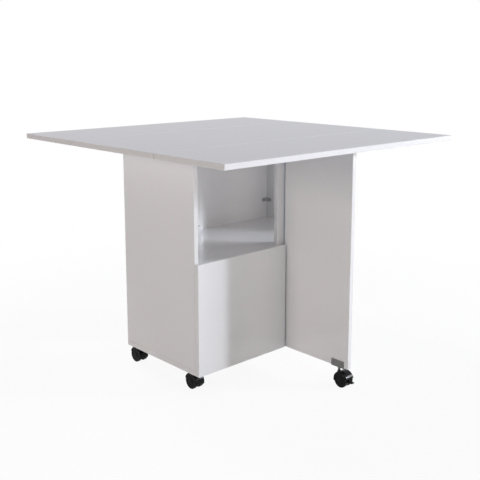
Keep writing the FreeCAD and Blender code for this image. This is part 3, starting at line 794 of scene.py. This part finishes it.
def screw_tree():
    """Nodes that set a head on every point, facing the way that the point gives, with a raised cross on top in
    painted shade for its recess.
    """
    tree = bpy.data.node_groups.new("screw_heads", "GeometryNodeTree")
    ports = tree.interface
    ports.new_socket("Geometry", in_out="OUTPUT", socket_type="NodeSocketGeometry")
    ports.new_socket("Points", in_out="INPUT", socket_type="NodeSocketGeometry")
    ports.new_socket("Sides", in_out="INPUT", socket_type="NodeSocketInt")
    for name in ("Height", "Top", "Reach", "Width", "Lift"):
        ports.new_socket(name, in_out="INPUT", socket_type="NodeSocketFloat")
    for name in ("Steel", "Recess"):
        ports.new_socket(name, in_out="INPUT", socket_type="NodeSocketMaterial")
    graph = Graph(tree)
    entry = tree.nodes.new("NodeGroupInput")
    given = {socket.name: Value(graph, socket) for socket in entry.outputs if socket.name}
    cone = {
        "Vertices": given["Sides"],
        "Radius Top": given["Top"],
        "Radius Bottom": 1.0,
        "Depth": given["Height"],
    }
    head = graph.node("GeometryNodeMeshCone", {"fill_type": "NGON"}, cone, "Mesh")
    sides = {"X": given["Reach"], "Y": given["Width"], "Z": given["Lift"]}
    size = graph.node("ShaderNodeCombineXYZ", {}, sides)
    bar = graph.node("GeometryNodeMeshCube", {}, {"Size": size}, "Mesh")
    lift = graph.node("ShaderNodeCombineXYZ", {}, {"Z": given["Height"]})
    flat = graph.node("GeometryNodeTransform", {}, {"Geometry": bar, "Translation": lift})
    quarter = {"Geometry": flat, "Rotation": (0, 0, math.pi / 2)}
    crossed = graph.node("GeometryNodeTransform", {}, quarter)
    marks = graph.node("GeometryNodeJoinGeometry", {}, {"Geometry": flat})
    tree.links.new(crossed.socket, marks.socket.node.inputs["Geometry"])
    # The faces of the cross are tagged for the painted shade of the recess.
    label = {"Geometry": marks, "Name": "recess", "Value": True}
    marked = graph.node("GeometryNodeStoreNamedAttribute", {"data_type": "BOOLEAN", "domain": "FACE"}, label)
    screw = graph.node("GeometryNodeJoinGeometry", {}, {"Geometry": head})
    tree.links.new(marked.socket, screw.socket.node.inputs["Geometry"])
    facing = graph.node("GeometryNodeInputNamedAttribute", {"data_type": "FLOAT_VECTOR"}, {"Name": "facing"})
    radius = graph.node("GeometryNodeInputNamedAttribute", {"data_type": "FLOAT"}, {"Name": "head"})
    turn = graph.node("FunctionNodeAlignRotationToVector", {"axis": "Z"}, {"Vector": facing})
    spread = {"Points": given["Points"], "Instance": screw, "Rotation": turn, "Scale": radius}
    heads = graph.node("GeometryNodeInstanceOnPoints", {}, spread)
    real = graph.node("GeometryNodeRealizeInstances", {}, {"Geometry": heads})
    plated = graph.node("GeometryNodeSetMaterial", {}, {"Geometry": real, "Material": given["Steel"]})
    # Faces of the cross that take the painted shade of the recess.
    inside = graph.node("GeometryNodeInputNamedAttribute", {"data_type": "BOOLEAN"}, {"Name": "recess"})
    shaded = {"Geometry": plated, "Selection": inside, "Material": given["Recess"]}
    done = graph.node("GeometryNodeSetMaterial", {}, shaded)
    graph.node("NodeGroupOutput", {}, {"Geometry": done})
    return tree


def set_inputs(modifier, values):
    """Sets a node modifier's inputs by their identifiers."""
    for item in modifier.node_group.interface.items_tree:
        if item.item_type == "SOCKET" and item.in_out == "INPUT" and item.name in values:
            modifier[item.identifier] = values[item.name]


def screw_piece(name, places, tree, inputs):
    """All screw heads of one body and finish as a plain mesh."""
    mesh = bpy.data.meshes.new(name)
    mesh.from_pydata([place for place, _, _ in places], [], [])
    facing = mesh.attributes.new("facing", "FLOAT_VECTOR", "POINT")
    facing.data.foreach_set("vector", [part for _, direction, _ in places for part in direction])
    head = mesh.attributes.new("head", "FLOAT", "POINT")
    head.data.foreach_set("value", [radius for _, _, radius in places])
    piece = bpy.data.objects.new(name, mesh)
    bpy.context.scene.collection.objects.link(piece)
    modifier = piece.modifiers.new("screw_heads", "NODES")
    modifier.node_group = tree
    set_inputs(modifier, inputs)
    graph = bpy.context.evaluated_depsgraph_get()
    made = bpy.data.meshes.new_from_object(piece.evaluated_get(graph))
    piece.modifiers.clear()
    piece.data = made
    made.name = name
    if not made.polygons:
        raise RuntimeError(f"no screw heads were made for {name}")
    return piece


# Stage
def white_seen(graph):
    """One for rays from the camera, a mirror or a lens, and nothing for the rest."""
    seen = graph.node("ShaderNodeLightPath", {}, {}, "Is Camera Ray")
    paths = seen.socket.node.outputs
    return seen + Value(graph, paths["Is Glossy Ray"]) + Value(graph, paths["Is Transmission Ray"])


def floor_material():
    """White floor that still shows a part of the table's shadow close to the table."""
    stage = settings().stage
    material, graph = new_material("studio_floor")
    reach = graph.node("ShaderNodeVectorMath", {"operation": "LENGTH"}, {0: object_place(graph)}, "Value")
    span = {"Value": reach, "From Min": stage.shade_near, "From Max": stage.shade_far}
    plain = graph.node("ShaderNodeMapRange", {"interpolation_type": "SMOOTHSTEP"}, span)
    mask = white_seen(graph) * (1 - stage.shade_share * (1 - plain))
    matt = graph.node("ShaderNodeBsdfDiffuse", {}, {"Color": FLOOR_GREY})
    white = graph.node("ShaderNodeEmission", {}, {"Color": WHITE, "Strength": 1.0})
    mixed = graph.node("ShaderNodeMixShader", {}, {0: mask, 1: matt, 2: white})
    graph.node("ShaderNodeOutputMaterial", {}, {"Surface": mixed})
    return material


def build_floor():
    stage = settings().stage
    shape = bmesh.new()
    bmesh.ops.create_circle(shape, cap_ends=True, segments=FLOOR_SIDES, radius=stage.floor_radius)
    mesh = bpy.data.meshes.new("studio_floor")
    shape.to_mesh(mesh)
    shape.free()
    mesh.materials.append(floor_material())
    floor = bpy.data.objects.new("studio_floor", mesh)
    bpy.context.scene.collection.objects.link(floor)


def light_world():
    """Even faint light from a sky that looks plain white."""
    world = bpy.data.worlds.new("studio")
    world.use_nodes = True
    graph = Graph(world.node_tree)
    faint = tint(settings().stage.ambient)
    lit = graph.node("ShaderNodeBackground", {}, {"Color": faint, "Strength": 1.0})
    white = graph.node("ShaderNodeBackground", {}, {"Color": WHITE, "Strength": 1.0})
    mixed = graph.node("ShaderNodeMixShader", {}, {0: white_seen(graph), 1: lit, 2: white})
    graph.node("ShaderNodeOutputWorld", {}, {"Surface": mixed})
    bpy.context.scene.world = world


def area_lamp(name, place, aim, width, height, power, tone):
    lamp = bpy.data.lights.new(name, "AREA")
    lamp.color = tone
    lamp.shape = "RECTANGLE"
    lamp.size = width
    lamp.size_y = height
    lamp.energy = power
    holder = bpy.data.objects.new(name, lamp)
    way = Vector(aim) - Vector(place)
    turn = way.to_track_quat("-Z", "Y").to_matrix().to_4x4()
    holder.matrix_world = Matrix.Translation(place) @ turn
    bpy.context.scene.collection.objects.link(holder)


def light_lamps():
    stage = settings().stage
    for name in LAMPS:
        area_lamp(name, *(getattr(stage, f"{name}_{part}") for part in LAMP_PARTS))


def place_camera():
    stage = settings().stage
    data = bpy.data.cameras.new("camera")
    data.sensor_width = SENSOR_WIDTH
    data.lens = stage.camera_lens
    data.shift_y = stage.camera_shift
    camera = bpy.data.objects.new("camera", data)
    camera.location = stage.camera_place
    camera.rotation_euler = (math.pi / 2 - stage.camera_pitch, 0, -stage.camera_yaw)
    bpy.context.scene.collection.objects.link(camera)
    bpy.context.scene.camera = camera


# Operators
class FinishBoards(bpy.types.Operator):
    """Gives every board its white lacquer"""

    bl_idname = "drop_leaf.finish_boards"
    bl_label = "Finish boards"

    def execute(self, context):
        sizes = settings().boards
        paint(slot_nodes("white_lacquer"), lacquer("white_lacquer", sizes.gloss, sizes.shine))
        paint(TOP_BOARDS, lacquer("matt_lacquer", sizes.top_gloss, sizes.top_shine))
        return {"FINISHED"}


class FinishFittings(bpy.types.Operator):
    """Gives hinges, braces, brackets, stems and latch their metals and plastics"""

    bl_idname = "drop_leaf.finish_fittings"
    bl_label = "Finish fittings"

    def execute(self, context):
        for slot in STEELS:
            paint(slot_nodes(slot), steel(slot))
        paint(BRACES, steel("brace_steel"))
        for slot in PLASTICS:
            paint(slot_nodes(slot), moulded(slot))
        return {"FINISHED"}


class BuildCasters(bpy.types.Operator):
    """Builds the six casters: hood, pair of wheels and brake pedal"""

    bl_idname = "drop_leaf.build_casters"
    bl_label = "Build casters"

    def execute(self, context):
        black = finish_of("black_nylon")
        grey = finish_of("wheel_nylon")
        for name in caster_names():
            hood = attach(hood_piece(name, [black]), f"{name}_caster")
            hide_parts(f"{name}_caster_housing")
            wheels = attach(wheel_piece(name, [grey, black]), f"{name}_caster_wheels")
            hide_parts(f"{name}_caster_wheels", f"{name}_caster_axle")
            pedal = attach(pedal_piece(name, [black]), f"{name}_caster_brake")
            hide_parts(f"{name}_caster_brake")
        return {"FINISHED"}


class DriveScrews(bpy.types.Operator):
    """Sets the screws in hinges, brackets, braces, plates and posts"""

    bl_idname = "drop_leaf.drive_screws"
    bl_label = "Drive screws"

    def execute(self, context):
        sizes = settings().screws
        bright = ScrewList()
        leaf_hinge_screws(bright, sizes.leaf_head)
        gate_hinge_screws(bright, sizes.gate_head)
        door_hinge_screws(bright, sizes.plate_head)
        dark = ScrewList()
        bracket_screws(dark, sizes.plate_head)
        all_brace_screws(dark, sizes.plate_head)
        post_screws(dark, sizes.post_head)
        inputs = {
            "Sides": sizes.sides,
            "Height": sizes.head_height,
            "Top": sizes.head_top,
            "Reach": sizes.recess_reach,
            "Width": sizes.recess_width,
            "Lift": sizes.recess_lift,
            # Painted shade for the screw recesses.
            "Recess": moulded("screw_recess"),
        }
        tree = screw_tree()
        for finish, screws in (("bright_steel", bright), ("dark_steel", dark)):
            inputs["Steel"] = finish_of(finish)
            for body, places in screws.found.items():
                name = f"{body}_{finish}_screws"
                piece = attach(screw_piece(name, places, tree, inputs), body)
        return {"FINISHED"}


class SetStage(bpy.types.Operator):
    """Sets floor, world, lamps and camera"""

    bl_idname = "drop_leaf.set_stage"
    bl_label = "Set stage"

    def execute(self, context):
        build_floor()
        light_world()
        light_lamps()
        place_camera()
        context.scene.view_settings.view_transform = "Standard"
        return {"FINISHED"}


OPERATORS = (FinishBoards, FinishFittings, BuildCasters, DriveScrews, SetStage)


class TablePanel(bpy.types.Panel):
    """Lists the steps that dress the table"""

    bl_idname = "VIEW3D_PT_drop_leaf_table"
    bl_label = "Drop-leaf table"
    bl_space_type = "VIEW_3D"
    bl_region_type = "UI"
    bl_category = "Table"

    def draw(self, context):
        for operator in OPERATORS:
            self.layout.operator(operator.bl_idname)


GROUPS = (BoardFinish, FittingFinish, CasterSizes, ScrewSizes, StageSettings, TableSettings)


def register():
    for kind in (*GROUPS, *OPERATORS, TablePanel):
        bpy.utils.register_class(kind)
    bpy.types.Scene.drop_leaf_table = PointerProperty(type=TableSettings)


def unregister():
    del bpy.types.Scene.drop_leaf_table
    for kind in reversed((*GROUPS, *OPERATORS, TablePanel)):
        bpy.utils.unregister_class(kind)


def main():
    register()
    bpy.ops.drop_leaf.finish_boards()
    bpy.ops.drop_leaf.finish_fittings()
    bpy.ops.drop_leaf.build_casters()
    bpy.ops.drop_leaf.drive_screws()
    bpy.ops.drop_leaf.set_stage()


if __name__ == "__main__":
    main()
